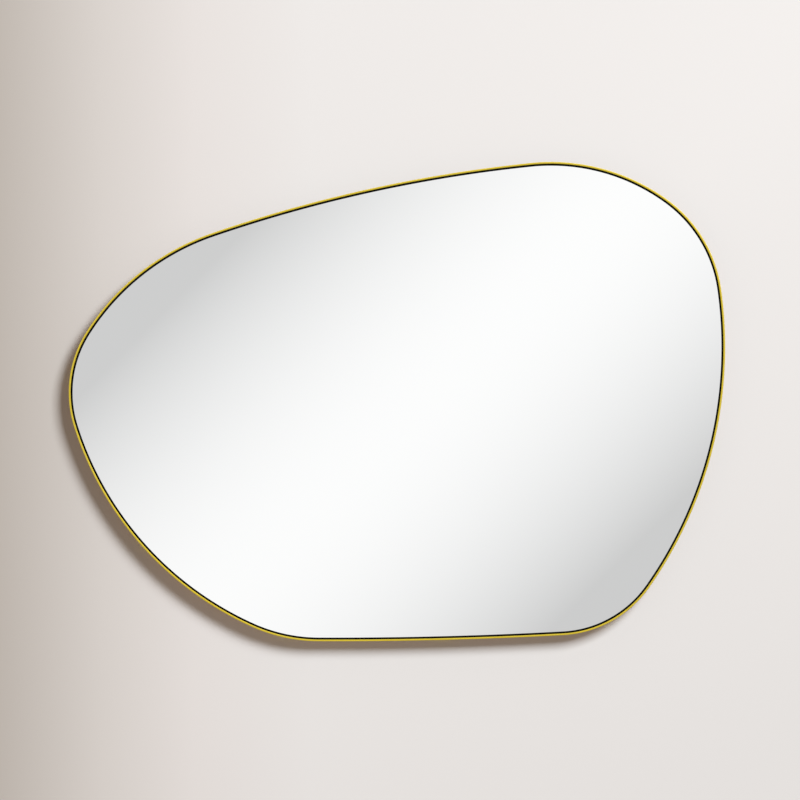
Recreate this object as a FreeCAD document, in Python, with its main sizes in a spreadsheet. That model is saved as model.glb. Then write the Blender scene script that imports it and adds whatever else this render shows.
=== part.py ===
"""Irregular wall mirror: a pebble-shaped glass in a bent metal strip frame, hung on two wire rings.

Millimetres. Seen from the front, +X is to the right and +Z is up. The wall is the plane Y = 0,
on which the frame's rear edge rests, and the glass faces -Y. X = 0, Z = 0 is the middle of the
outline's bounding box.

The outline is a closed chain of ten tangent arcs: a corner arc or a pair of corner arcs at each of
the four soft corners, joined by four large, shallow side arcs. Every piece that follows the outline
has its own sketch of that chain, drawn inward by its own distance from the outer edge.
"""
import FreeCAD, Part
import math
import os
import Sketcher

Vector = FreeCAD.Vector

# ---------------------------------------------------------------- driving dimensions

SIZES = [
    # Outline, measured on the outer face of the frame.
    ("lower_right_x", 219.5, "centre of the lower right corner arc"),
    ("lower_right_z", -165.8, "centre of the lower right corner arc"),
    ("lower_right_radius", 154.5, "lower right corner arc"),
    ("upper_right_x", 211.0, "centre of the upper right corner's large arc"),
    ("upper_right_z", 57.0, "centre of the upper right corner's large arc"),
    ("upper_right_radius", 272.0, "upper right corner, large arc"),
    ("upper_right_tight_radius", 183.0, "upper right corner, tight arc"),
    ("upper_right_direction", 54.0, "degrees, where the two upper right arcs meet"),
    ("left_x", -145.5, "centre of the left end's large arc"),
    ("left_z", -83.0, "centre of the left end's large arc"),
    ("left_radius", 332.5, "left end, large arc"),
    ("left_tight_radius", 154.5, "left end, tight arc"),
    ("left_direction", 147.5, "degrees, where the two left arcs meet"),
    ("lower_left_x", -106.5, "centre of the lower left corner arc"),
    ("lower_left_z", -103.0, "centre of the lower left corner arc"),
    ("lower_left_radius", 225.5, "lower left corner arc"),
    ("right_side_radius", 573.0, "shallow arc of the right side"),
    ("top_side_radius", 1965.0, "shallow arc of the top side"),
    ("left_side_radius", 450.0, "shallow arc from the left end to the lower left corner"),
    ("bottom_side_radius", 5800.0, "shallow arc of the bottom side"),
    # Frame strip.
    ("frame_depth", 25.0, "front edge of the strip to the wall"),
    ("frame_wall", 2.5, "thickness of the strip"),
    ("frame_front_bevel", 0.6, "bevel on the strip's two front edges"),
    # Glass, tape and board, from the front to the back.
    ("front_lip", 1.5, "the strip stands proud of the glass"),
    ("reveal", 2.5, "open gap between the strip and the glass"),
    ("glass_thickness", 4.0, "mirror glass"),
    ("glass_arris", 0.6, "flat ground on the glass's edges"),
    ("tape_thickness", 1.0, "foam mounting tape"),
    ("tape_width", 25.0, "foam mounting tape"),
    ("tape_end", 136.0, "outline's ends to the middle of the first and the last tape strip"),
    ("tape_margin", 30.0, "tape ends stay back from the glass's edge"),
    ("board_thickness", 6.0, "fibreboard"),
    ("board_clearance", 0.5, "board to the inside of the strip"),
    # Lugs that carry the board, welded inside the strip.
    ("lug_width", 20.0, "along the strip"),
    ("lug_reach", 16.0, "inward from the strip"),
    ("lug_thickness", 2.0, "steel plate"),
    ("lug_corner", 4.0, "cut off each of the lug's free corners"),
    ("lug_hole_reach", 9.5, "screw hole's distance from the strip"),
    # Screws, with plain round heads and shanks.
    ("screw_head", 7.0, "diameter"),
    ("screw_head_height", 2.2, "height of the head"),
    ("screw_shank", 3.2, "diameter"),
    ("screw_length", 7.4, "below the head"),
    ("screw_clearance", 0.5, "on the diameter, in plates"),
    ("pilot_clearance", 0.1, "on the diameter, in the board"),
    ("pilot_extra", 0.1, "depth of the pilot hole past the screw"),
    # Hangers: a folded strap with a three-sided wire ring in its rolled eye.
    ("hanger_middle", 26.0, "X of the point half way between the hangers, under the centre of mass"),
    ("hanger_spacing", 450.0, "from one hanger to the other"),
    ("hanger_height", 150.0, "Z of the rings' axis"),
    ("strap_thickness", 1.0, "steel strap"),
    ("strap_width", 16.0, "steel strap"),
    ("strap_length", 33.0, "ring's axis to the strap's free ends"),
    ("strap_corner", 3.5, "rounding of the free ends"),
    ("strap_fold_gap", 0.05, "between the two layers"),
    ("strap_joggle_angle", 45.0, "degrees, slope from the eye down to the lower layer"),
    ("strap_joggle_radius", 1.5, "middle of the strap, at the foot of the slope"),
    ("strap_first_screw", 9.0, "ring's axis to the first screw"),
    ("strap_second_screw", 26.0, "ring's axis to the second screw"),
    ("ring_wire", 3.0, "diameter of the ring's wire"),
    ("ring_inside", 20.0, "width inside the ring, at the bar"),
    ("ring_bend", 2.5, "middle of the wire, at each of the three bends"),
    ("ring_reach", 15.5, "axis to the centre of the bend at the ring's point"),
    ("ring_joint", 0.4, "butt joint of the wire, inside the eye"),
    ("ring_clearance", 0.08, "wire to the inside of the eye"),
    ("ring_rest_gap", 0.3, "ring's point to the board, at rest"),
]

TAPE_STRIPS = 6

# How far apart two places in a shape may lie and still count as the same, in millimetres.
TOUCH = 1e-4

doc = FreeCAD.newDocument("IrregularMirror")


def make_sheet():
    """Put the driving dimensions on a sheet, each with its alias and a note."""
    sheet = doc.addObject("Spreadsheet::Sheet", "Sizes")
    for row, (alias, value, note) in enumerate(SIZES, start=1):
        sheet.set(f"A{row}", alias)
        sheet.set(f"B{row}", str(value))
        sheet.setAlias(f"B{row}", alias)
        sheet.set(f"C{row}", note)
    doc.recompute()
    return sheet


sheet = make_sheet()


def size(alias):
    """A driving dimension, read from the sheet."""
    return float(sheet.get(alias))


# Distances that follow from the driving dimensions, as expressions on the sheet. Depths are
# measured from the wall, and insets from the outer face of the frame.
GLASS_BACK = "Sizes.frame_depth - Sizes.front_lip - Sizes.glass_thickness"
BOARD_FRONT = f"{GLASS_BACK} - Sizes.tape_thickness"
BOARD_REAR = f"{BOARD_FRONT} - Sizes.board_thickness"
LUG_REAR = f"{BOARD_REAR} - Sizes.lug_thickness"
STRAP_STACK = "(2 * Sizes.strap_thickness + Sizes.strap_fold_gap)"
STRAP_REAR = f"{BOARD_REAR} - {STRAP_STACK}"
EYE_RADIUS = "(Sizes.ring_wire / 2 + Sizes.ring_clearance + Sizes.strap_thickness / 2)"
EYE_HEIGHT = f"({EYE_RADIUS} + Sizes.strap_thickness / 2)"
RING_HALF_WIDTH = "(Sizes.ring_inside + Sizes.ring_wire) / 2"
FRAME_INSIDE = "Sizes.frame_wall"
BOARD_INSET = "Sizes.frame_wall + Sizes.board_clearance"
GLASS_INSET = "Sizes.frame_wall + Sizes.reveal"
TAPE_INSET = f"{GLASS_INSET} + Sizes.tape_margin"
LEFT_END = (
    "(Sizes.left_x + (Sizes.left_radius - Sizes.left_tight_radius) * cos(Sizes.left_direction * 1deg)"
    " - Sizes.left_tight_radius)")
RIGHT_END = (
    "(Sizes.upper_right_x + (Sizes.upper_right_radius - Sizes.upper_right_tight_radius)"
    " * cos(Sizes.upper_right_direction * 1deg) + Sizes.upper_right_tight_radius)")
TAPE_PITCH = f"(({RIGHT_END} - {LEFT_END} - 2 * Sizes.tape_end) / ({TAPE_STRIPS} - 1))"

# ---------------------------------------------------------------- outline


class OutlineArc:
    """One arc of the outline: its centre in X and Z, its radius and the sheet's name for it."""

    def __init__(self, name, x, z, radius_alias):
        self.name = name
        self.x = x
        self.z = z
        self.radius_alias = radius_alias
        self.radius = size(radius_alias)
        self.start = 0.0
        self.end = 0.0

    def middle(self):
        """Direction from the centre to the middle of the arc, in radians."""
        return (self.start + self.end) / 2


def corner_arc(name, prefix):
    """A corner arc whose centre is on the sheet."""
    return OutlineArc(name, size(prefix + "_x"), size(prefix + "_z"), prefix + "_radius")


def tight_arc(name, large, prefix):
    """The tight arc of a corner, which touches the large one from inside in a given direction."""
    arc = OutlineArc(name, 0.0, 0.0, prefix + "_tight_radius")
    direction = math.radians(size(prefix + "_direction"))
    arc.x = large.x + (large.radius - arc.radius) * math.cos(direction)
    arc.z = large.z + (large.radius - arc.radius) * math.sin(direction)
    return arc


def side_arc(name, before, after, radius_alias):
    """A shallow arc that touches the corner arcs before and after it, which lie inside it."""
    arc = OutlineArc(name, 0.0, 0.0, radius_alias)
    to_before = arc.radius - before.radius
    to_after = arc.radius - after.radius
    apart = math.hypot(after.x - before.x, after.z - before.z)
    along = (to_before ** 2 - to_after ** 2 + apart ** 2) / (2 * apart)
    across = math.sqrt(to_before ** 2 - along ** 2)
    unit_x = (after.x - before.x) / apart
    unit_z = (after.z - before.z) / apart
    arc.x = before.x + along * unit_x - across * unit_z
    arc.z = before.z + along * unit_z + across * unit_x
    return arc


def meeting_direction(one, two):
    """Direction of the outline's normal where two touching arcs meet, in radians."""
    if one.radius > two.radius:
        return math.atan2(two.z - one.z, two.x - one.x)
    return math.atan2(one.z - two.z, one.x - two.x)


def make_outline():
    """The ten arcs in order, anticlockwise from the lower right corner."""
    lower_right = corner_arc("lower_right", "lower_right")
    upper_right = corner_arc("upper_right", "upper_right")
    upper_right_tight = tight_arc("upper_right_tight", upper_right, "upper_right")
    left = corner_arc("left", "left")
    left_tight = tight_arc("left_tight", left, "left")
    lower_left = corner_arc("lower_left", "lower_left")
    arcs = [
        lower_right,
        side_arc("right_side", lower_right, upper_right_tight, "right_side_radius"),
        upper_right_tight,
        upper_right,
        side_arc("top_side", upper_right, left, "top_side_radius"),
        left,
        left_tight,
        side_arc("left_side", left_tight, lower_left, "left_side_radius"),
        lower_left,
        side_arc("bottom_side", lower_left, lower_right, "bottom_side_radius"),
    ]
    for index, arc in enumerate(arcs):
        following = arcs[(index + 1) % len(arcs)]
        arc.end = meeting_direction(arc, following)
        following.start = arc.end
    for arc in arcs:
        while arc.end < arc.start:
            arc.end += 2 * math.pi
    return arcs


outline = make_outline()

# ---------------------------------------------------------------- helpers

XY_NORMAL = Vector(0, 0, 1)

# A sketch numbers an arc's start, end and centre from one upwards and its two axes from one downwards.
START, END, CENTRE = range(1, 4)
ON_X_AXIS = -START
ON_Y_AXIS = -END
ORIGIN = (ON_X_AXIS, START)


def make_body(label):
    """A PartDesign body whose label names its file."""
    body = doc.addObject("PartDesign::Body", label)
    body.Label = label
    return body


def make_sketch(body, name, plane, offset=None):
    """A sketch on one of the body's origin planes, moved along its normal by an expression."""
    sketch = body.newObject("Sketcher::SketchObject", f"{body.Name}_{name}")
    support = [item for item in body.Origin.OriginFeatures if item.Role == plane]
    sketch.AttachmentSupport = [(support[0], "")]
    sketch.MapMode = "FlatFace"
    if offset:
        sketch.setExpression("AttachmentOffset.Base.z", offset)
    return sketch


def bind(sketch, name, constraint, expression):
    """Add a named dimension to a sketch and bind it to the sheet."""
    index = sketch.addConstraint(constraint)
    sketch.renameConstraint(index, name)
    sketch.setExpression(f"Constraints.{name}", expression)


def evaluate(expression):
    """The value of an expression on the sheet, as a plain number."""
    value = sheet.evalExpression(expression)
    return float(getattr(value, "Value", value))


def add_outline(sketch, inset, prefix="outer"):
    """Draw the ten arcs, inset from the outer face of the frame, and constrain them fully."""
    distance = evaluate(inset)
    first = sketch.GeometryCount
    for arc in outline:
        circle = Part.Circle(Vector(arc.x, arc.z, 0), XY_NORMAL, arc.radius - distance)
        sketch.addGeometry(Part.ArcOfCircle(circle, arc.start, arc.end), False)
    number = {arc.name: first + index for index, arc in enumerate(outline)}
    count = len(outline)
    for index in range(count):
        following = first + (index + 1) % count
        sketch.addConstraint(Sketcher.Constraint("Tangent", first + index, END, following, START))
    for corner in ("lower_right", "upper_right", "left", "lower_left"):
        arc = outline[number[corner] - first]
        for axis, kind, place in (("x", "DistanceX", arc.x), ("z", "DistanceY", arc.z)):
            constraint = Sketcher.Constraint(kind, *ORIGIN, number[corner], CENTRE, place)
            bind(sketch, f"{prefix}_{corner}_{axis}", constraint, f"Sizes.{corner}_{axis}")
    for large, kind, function in (("upper_right", "DistanceX", "cos"), ("left", "DistanceY", "sin")):
        tight = large + "_tight"
        change = f"(Sizes.{large}_radius - Sizes.{tight}_radius)"
        offset = f"{change} * {function}(Sizes.{large}_direction * 1deg)"
        constraint = Sketcher.Constraint(
            kind, number[large], CENTRE, number[tight], CENTRE, evaluate(offset))
        bind(sketch, f"{prefix}_{tight}_place", constraint, offset)
    for arc in outline:
        constraint = Sketcher.Constraint("Radius", number[arc.name], arc.radius - distance)
        bind(sketch, f"{prefix}_{arc.name}_radius", constraint, f"Sizes.{arc.radius_alias} - ({inset})")


def add_pad(body, sketch, length, label="pad"):
    """Pad a sketch by an expression."""
    pad = body.newObject("PartDesign::Pad", f"{body.Name}_{label}")
    pad.Profile = sketch
    pad.setExpression("Length", length)
    doc.recompute()
    return pad


def add_pocket(body, sketch, length=None, away=False, label="pocket"):
    """Cut a sketch out of the body, through it or to a depth, and check that it cut something."""
    before = body.Shape.Volume
    pocket = body.newObject("PartDesign::Pocket", f"{body.Name}_{label}")
    pocket.Profile = sketch
    if length is None:
        pocket.Type = "ThroughAll"
        pocket.SideType = "Symmetric"
    else:
        pocket.setExpression("Length", length)
        pocket.Reversed = away
    doc.recompute()
    if not body.Shape.Volume < before:
        raise RuntimeError(f"{body.Label}: {label} cuts nothing")
    return pocket


def edge_names(feature, chosen):
    """Names of the edges of a feature that a test chooses."""
    return [f"Edge{index}" for index, edge in enumerate(feature.Shape.Edges, start=1) if chosen(edge)]


def round_edges(body, feature, chosen, radius):
    """Round the chosen edges of a feature."""
    rounded = body.newObject("PartDesign::Fillet", f"{body.Name}_round")
    rounded.Base = (feature, edge_names(feature, chosen))
    rounded.setExpression("Radius", radius)
    doc.recompute()
    return rounded


def bevel_edges(body, feature, chosen, width):
    """Bevel the chosen edges of a feature."""
    bevel = body.newObject("PartDesign::Chamfer", f"{body.Name}_bevel")
    bevel.Base = (feature, edge_names(feature, chosen))
    bevel.setExpression("Size", width)
    doc.recompute()
    return bevel


def lies_at_depth(edge, depth):
    """Whether an edge lies in the plane Y = -depth."""
    return all(abs(vertex.Point.y + depth) < TOUCH for vertex in edge.Vertexes)


def place(item, x=None, y=None, z=None):
    """Bind an object's position to the sheet."""
    for axis, expression in (("x", x), ("y", y), ("z", z)):
        if expression is not None:
            item.setExpression(f"Placement.Base.{axis}", expression)


# ---------------------------------------------------------------- frame, glass, board


def make_frame_strip():
    """The bent strip that goes round the mirror, with its front edges bevelled."""
    body = make_body("frame_strip")
    outer = make_sketch(body, "outer", "XZ_Plane")
    add_outline(outer, "0")
    add_outline(outer, FRAME_INSIDE, "inner")
    pad = add_pad(body, outer, "Sizes.frame_depth")
    depth = size("frame_depth")
    bevel_edges(body, pad, lambda edge: lies_at_depth(edge, depth),
                "min(Sizes.frame_front_bevel; 0.45 * Sizes.frame_wall)")
    return body


def make_mirror_glass():
    """The silvered glass, with ground edges."""
    body = make_body("mirror_glass")
    sketch = make_sketch(body, "edge", "XZ_Plane")
    add_outline(sketch, GLASS_INSET)
    pad = add_pad(body, sketch, "Sizes.glass_thickness")
    depths = (0.0, size("glass_thickness"))
    bevel_edges(body, pad, lambda edge: any(lies_at_depth(edge, depth) for depth in depths),
                "min(Sizes.glass_arris; 0.4 * Sizes.glass_thickness)")
    place(body, y=f"-({GLASS_BACK})")
    return body


def make_tape_strips():
    """Upright strips of foam tape, each cut to end short of the glass's edge."""
    tapes = []
    for index in range(TAPE_STRIPS):
        strip = doc.addObject("Part::Box", f"tape_blank_{index + 1}")
        strip.setExpression("Length", "Sizes.tape_width")
        strip.setExpression("Width", "Sizes.tape_thickness")
        strip.setExpression("Height", "2 * Sizes.upper_right_radius + 2 * Sizes.left_radius")
        place(strip, x=f"{LEFT_END} + Sizes.tape_end + {index} * {TAPE_PITCH} - Sizes.tape_width / 2",
              y=f"-({GLASS_BACK})", z="-(Sizes.upper_right_radius + Sizes.left_radius)")
        area = make_body(f"tape_area_{index + 1}")
        sketch = make_sketch(area, "edge", "XZ_Plane")
        add_outline(sketch, TAPE_INSET)
        add_pad(area, sketch, "Sizes.tape_thickness")
        place(area, y=f"-({BOARD_FRONT})")
        tape = doc.addObject("Part::Common", f"tape_strip_{index + 1}")
        tape.Base = strip
        tape.Tool = area
        tape.Label = f"tape_strip_{index + 1}"
        tapes.append(tape)
    return tapes


def lug_screw_places():
    """X and Z of each lug's screw, one lug at the middle of each arc of the outline."""
    places = []
    for arc in outline:
        reach = arc.radius - size("frame_wall") - size("lug_hole_reach")
        places.append((arc.x + reach * math.cos(arc.middle()), arc.z + reach * math.sin(arc.middle())))
    return places


def hanger_sides():
    """The two hangers: a name and the side of the middle that each is on."""
    return (("left", -1), ("right", 1))


def hanger_x(side):
    """Expression for the X of a hanger."""
    return f"Sizes.hanger_middle + {side} * Sizes.hanger_spacing / 2"


def add_pilot(sketch, name, x, z, radius):
    """A pilot hole's circle, with its centre held by two named dimensions."""
    number = sketch.addGeometry(Part.Circle(Vector(x, z, 0), XY_NORMAL, radius), False)
    across = sketch.addConstraint(Sketcher.Constraint("DistanceX", *ORIGIN, number, CENTRE, x))
    up = sketch.addConstraint(Sketcher.Constraint("DistanceY", *ORIGIN, number, CENTRE, z))
    sketch.renameConstraint(across, name + "_x")
    sketch.renameConstraint(up, name + "_z")
    bind(sketch, name + "_radius", Sketcher.Constraint("Radius", number, radius),
         "(Sizes.screw_shank + Sizes.pilot_clearance) / 2")


def make_backing_board():
    """The fibreboard that fills the frame behind the glass, with blind pilot holes in its rear."""
    body = make_body("backing_board")
    edge = make_sketch(body, "edge", "XZ_Plane")
    add_outline(edge, BOARD_INSET)
    add_pad(body, edge, "Sizes.board_thickness")
    pilot = evaluate("(Sizes.screw_shank + Sizes.pilot_clearance) / 2")
    lug_pilots = make_sketch(body, "lug_pilots", "XZ_Plane")
    for index, (x, z) in enumerate(lug_screw_places(), start=1):
        add_pilot(lug_pilots, f"lug_{index}", x, z, pilot)
    depth = "Sizes.screw_length + Sizes.pilot_extra"
    add_pocket(body, lug_pilots, f"{depth} - Sizes.lug_thickness", away=True, label="lug_pilot_holes")
    hanger_pilots = make_sketch(body, "hanger_pilots", "XZ_Plane")
    for name, side in hanger_sides():
        for screw in ("first", "second"):
            x = evaluate(hanger_x(side))
            z = evaluate(f"Sizes.hanger_height - Sizes.strap_{screw}_screw")
            add_pilot(hanger_pilots, f"{name}_{screw}", x, z, pilot)
            hanger_pilots.setExpression(f"Constraints.{name}_{screw}_x", hanger_x(side))
            hanger_pilots.setExpression(f"Constraints.{name}_{screw}_z",
                                        f"Sizes.hanger_height - Sizes.strap_{screw}_screw")
    add_pocket(body, hanger_pilots, f"{depth} - {STRAP_STACK}", away=True, label="hanger_pilot_holes")
    place(body, y=f"-({BOARD_REAR})")
    return body


# ---------------------------------------------------------------- lugs and screws


def make_lug(index, arc):
    """A plate welded inside the strip. Its root follows the strip's inner face."""
    body = make_body(f"lug_{index}")
    sketch = make_sketch(body, "plate", "XZ_Plane")
    inside = arc.radius - size("frame_wall")
    half = size("lug_width") / 2
    corner = size("lug_corner")
    tip = inside - size("lug_reach")
    spread = math.asin(half / inside)
    root_x = inside * math.cos(spread)
    root = Part.Circle(Vector(0, 0, 0), XY_NORMAL, inside)
    upper_side = Vector(tip + corner, half, 0)
    upper_tip = Vector(tip, half - corner, 0)
    lower_tip = Vector(tip, corner - half, 0)
    lower_side = Vector(tip + corner, -half, 0)
    sketch.addGeometry([
        Part.ArcOfCircle(root, -spread, spread),
        Part.LineSegment(Vector(root_x, half, 0), upper_side),
        Part.LineSegment(upper_side, upper_tip),
        Part.LineSegment(upper_tip, lower_tip),
        Part.LineSegment(lower_tip, lower_side),
        Part.LineSegment(lower_side, Vector(root_x, -half, 0)),
    ], False)
    hole = size("screw_shank") / 2 + size("screw_clearance") / 2
    hole_x = inside - size("lug_hole_reach")
    sketch.addGeometry(Part.Circle(Vector(hole_x, 0, 0), XY_NORMAL, hole), False)
    for index in range(6):
        sketch.addConstraint(Sketcher.Constraint("Coincident", index, END, (index + 1) % 6, START))
    sketch.addConstraint([
        Sketcher.Constraint("Coincident", 0, CENTRE, *ORIGIN),
        Sketcher.Constraint("Horizontal", 1),
        Sketcher.Constraint("Vertical", 3),
        Sketcher.Constraint("Horizontal", 5),
        Sketcher.Constraint("PointOnObject", 6, CENTRE, ON_X_AXIS),
    ])
    rim = f"(Sizes.{arc.radius_alias} - Sizes.frame_wall)"
    bind(sketch, "root_radius", Sketcher.Constraint("Radius", 0, inside), rim)
    bind(sketch, "upper_half", Sketcher.Constraint("DistanceY", *ORIGIN, 0, END, half),
         "Sizes.lug_width / 2")
    bind(sketch, "lower_half", Sketcher.Constraint("DistanceY", 0, START, *ORIGIN, half),
         "Sizes.lug_width / 2")
    bind(sketch, "tip", Sketcher.Constraint("DistanceX", *ORIGIN, 3, START, tip),
         f"{rim} - Sizes.lug_reach")
    for kind in ("DistanceX", "DistanceY"):
        bind(sketch, f"upper_corner_{kind}", Sketcher.Constraint(kind, 2, END, 2, START, corner),
             "Sizes.lug_corner")
    for (kind, ends) in (("DistanceX", (START, END)), ("DistanceY", (END, START))):
        bind(sketch, f"lower_corner_{kind}", Sketcher.Constraint(kind, 4, ends[0], 4, ends[1], corner),
             "Sizes.lug_corner")
    bind(sketch, "hole_radius", Sketcher.Constraint("Radius", 6, hole),
         "(Sizes.screw_shank + Sizes.screw_clearance) / 2")
    bind(sketch, "hole_place", Sketcher.Constraint("DistanceX", *ORIGIN, 6, CENTRE, hole_x),
         f"{rim} - Sizes.lug_hole_reach")
    add_pad(body, sketch, "Sizes.lug_thickness")
    turn = FreeCAD.Rotation(Vector(0, -1, 0), math.degrees(arc.middle()))
    body.Placement = FreeCAD.Placement(Vector(arc.x, 0, arc.z), turn)
    place(body, y=f"-({LUG_REAR})")
    return body


def make_screw(label):
    """A screw that points along -Y, with the underside of its head at the origin."""
    body = make_body(label)
    sketch = make_sketch(body, "half", "XY_Plane")
    head = size("screw_head") / 2
    top = size("screw_head_height")
    shank = size("screw_shank") / 2
    length = size("screw_length")
    corners = [
        Vector(0, top, 0),
        Vector(0, -length, 0),
        Vector(shank, -length, 0),
        Vector(shank, 0, 0),
        Vector(head, 0, 0),
        Vector(head, top, 0),
    ]
    count = len(corners)
    for index in range(count):
        sketch.addGeometry(Part.LineSegment(corners[index], corners[(index + 1) % count]), False)
    for index in range(count):
        kind = "Horizontal" if index % 2 else "Vertical"
        sketch.addConstraint(Sketcher.Constraint("Coincident", index, END, (index + 1) % count, START))
        sketch.addConstraint(Sketcher.Constraint(kind, index))
    sketch.addConstraint(Sketcher.Constraint("PointOnObject", 0, START, ON_Y_AXIS))
    sketch.addConstraint(Sketcher.Constraint("PointOnObject", 3, START, ON_X_AXIS))
    bind(sketch, "head", Sketcher.Constraint("DistanceX", *ORIGIN, 3, END, head), "Sizes.screw_head / 2")
    bind(sketch, "shank", Sketcher.Constraint("DistanceX", *ORIGIN, 3, START, shank),
         "Sizes.screw_shank / 2")
    bind(sketch, "top", Sketcher.Constraint("DistanceY", *ORIGIN, 0, START, top),
         "Sizes.screw_head_height")
    bind(sketch, "length", Sketcher.Constraint("DistanceY", 0, END, *ORIGIN, length),
         "Sizes.screw_length")
    turned = body.newObject("PartDesign::Revolution", f"{body.Name}_turned")
    turned.Profile = sketch
    turned.ReferenceAxis = (sketch, ["V_Axis"])
    doc.recompute()
    return body


def group_screws(label, screws):
    """Several screws as separate solids under one name."""
    group = doc.addObject("Part::Compound", label)
    group.Label = label
    group.Links = screws
    return group


def make_lugs():
    """The ring of lugs and the screws that hold the board against them."""
    lugs = [make_lug(index, arc) for index, arc in enumerate(outline, start=1)]
    screws = []
    for index, (x, z) in enumerate(lug_screw_places(), start=1):
        screw = make_screw(f"lug_screw_{index}")
        screw.Placement = FreeCAD.Placement(Vector(x, 0, z), FreeCAD.Rotation())
        place(screw, y=f"-({LUG_REAR})")
        screws.append(screw)
    return lugs + [group_screws("lug_screws", screws)]


# ---------------------------------------------------------------- hangers


def add_strap_path(sketch):
    """Middle line of the folded strap in Y and Z: up the board, round the eye, down the slope."""
    thickness = size("strap_thickness")
    length = size("strap_length")
    eye = evaluate(EYE_RADIUS)
    height = evaluate(EYE_HEIGHT)
    foot = size("strap_joggle_radius")
    slope = math.radians(size("strap_joggle_angle"))
    upper = 1.5 * thickness + size("strap_fold_gap")
    run = (height + eye * math.cos(slope) - foot * (1 - math.cos(slope)) - upper) / math.sin(slope)
    top = Vector(height + eye * math.cos(slope), -eye * math.sin(slope), 0)
    knee = top + Vector(-math.sin(slope), -math.cos(slope), 0) * run
    foot_centre = knee + Vector(math.cos(slope), -math.sin(slope), 0) * foot
    eye_circle = Part.Circle(Vector(height, 0, 0), XY_NORMAL, eye)
    foot_circle = Part.Circle(foot_centre, XY_NORMAL, foot)
    sketch.addGeometry([
        Part.LineSegment(Vector(thickness / 2, -length, 0), Vector(thickness / 2, 0, 0)),
        Part.ArcOfCircle(eye_circle, -slope, math.pi),
        Part.LineSegment(top, knee),
        Part.ArcOfCircle(foot_circle, math.pi - slope, math.pi),
        Part.LineSegment(Vector(upper, foot_centre.y, 0), Vector(upper, -length, 0)),
    ], False)
    sketch.addConstraint([
        Sketcher.Constraint("Tangent", 0, END, 1, END),
        Sketcher.Constraint("Tangent", 1, START, 2, START),
        Sketcher.Constraint("Tangent", 2, END, 3, START),
        Sketcher.Constraint("Tangent", 3, END, 4, START),
        Sketcher.Constraint("Vertical", 0),
        Sketcher.Constraint("Vertical", 4),
        Sketcher.Constraint("PointOnObject", 1, CENTRE, ON_X_AXIS),
    ])
    bind(sketch, "lower_layer", Sketcher.Constraint("DistanceX", *ORIGIN, 0, START, thickness / 2),
         "Sizes.strap_thickness / 2")
    bind(sketch, "upper_layer", Sketcher.Constraint("DistanceX", *ORIGIN, 4, END, upper),
         "1.5 * Sizes.strap_thickness + Sizes.strap_fold_gap")
    bind(sketch, "lower_end", Sketcher.Constraint("DistanceY", 0, START, *ORIGIN, length),
         "Sizes.strap_length")
    bind(sketch, "upper_end", Sketcher.Constraint("DistanceY", 4, END, *ORIGIN, length),
         "Sizes.strap_length")
    bind(sketch, "eye_radius", Sketcher.Constraint("Radius", 1, eye), EYE_RADIUS)
    bind(sketch, "foot_radius", Sketcher.Constraint("Radius", 3, foot), "Sizes.strap_joggle_radius")
    bind(sketch, "slope", Sketcher.Constraint("Angle", 2, 4, slope), "Sizes.strap_joggle_angle * 1deg")


def make_strap(name, side):
    """A strap folded back on itself round the ring's bar, with both layers drilled for screws."""
    body = make_body(f"hanger_strap_{name}")
    path = make_sketch(body, "path", "YZ_Plane")
    add_strap_path(path)
    section = make_sketch(body, "section", "XY_Plane", "-Sizes.strap_length")
    add_rectangle(section, "Sizes.strap_width", "Sizes.strap_thickness")
    doc.recompute()
    pipe = body.newObject("PartDesign::AdditivePipe", f"{body.Name}_folded")
    pipe.Profile = section
    pipe.Spine = (path, [])
    doc.recompute()
    half = size("strap_width") / 2
    length = size("strap_length")

    def is_free_corner(edge):
        box = edge.BoundBox
        at_side = abs(abs(box.Center.x) - half) < TOUCH
        return at_side and box.ZMax + length < TOUCH

    round_edges(body, pipe, is_free_corner, "Sizes.strap_corner")
    holes = make_sketch(body, "holes", "XZ_Plane")
    radius = evaluate("(Sizes.screw_shank + Sizes.screw_clearance) / 2")
    for screw in ("first", "second"):
        drop = size(f"strap_{screw}_screw")
        number = holes.addGeometry(Part.Circle(Vector(0, -drop, 0), XY_NORMAL, radius), False)
        holes.addConstraint(Sketcher.Constraint("PointOnObject", number, CENTRE, ON_Y_AXIS))
        bind(holes, f"{screw}_place", Sketcher.Constraint("DistanceY", number, CENTRE, *ORIGIN, drop),
             f"Sizes.strap_{screw}_screw")
        bind(holes, f"{screw}_radius", Sketcher.Constraint("Radius", number, radius),
             "(Sizes.screw_shank + Sizes.screw_clearance) / 2")
    add_pocket(body, holes, label="screw_holes")
    place(body, x=hanger_x(side), y=f"-({BOARD_REAR})", z="Sizes.hanger_height")
    return body


def add_rectangle(sketch, width, thickness):
    """A rectangle from Y = 0 to its thickness, centred on X = 0."""
    half = evaluate(width) / 2
    top = evaluate(thickness)
    corners = [Vector(-half, 0, 0), Vector(half, 0, 0), Vector(half, top, 0), Vector(-half, top, 0)]
    for index in range(4):
        sketch.addGeometry(Part.LineSegment(corners[index], corners[(index + 1) % 4]), False)
    for index in range(4):
        sketch.addConstraint(Sketcher.Constraint("Coincident", index, END, (index + 1) % 4, START))
    sketch.addConstraint([
        Sketcher.Constraint("Horizontal", 0),
        Sketcher.Constraint("Vertical", 1),
        Sketcher.Constraint("Horizontal", 2),
        Sketcher.Constraint("Vertical", 3),
        Sketcher.Constraint("PointOnObject", 0, START, ON_X_AXIS),
    ])
    bind(sketch, "right_half", Sketcher.Constraint("DistanceX", *ORIGIN, 1, START, half), f"{width} / 2")
    bind(sketch, "left_half", Sketcher.Constraint("DistanceX", 0, START, *ORIGIN, half), f"{width} / 2")
    bind(sketch, "thickness", Sketcher.Constraint("DistanceY", *ORIGIN, 2, START, top), thickness)


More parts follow.
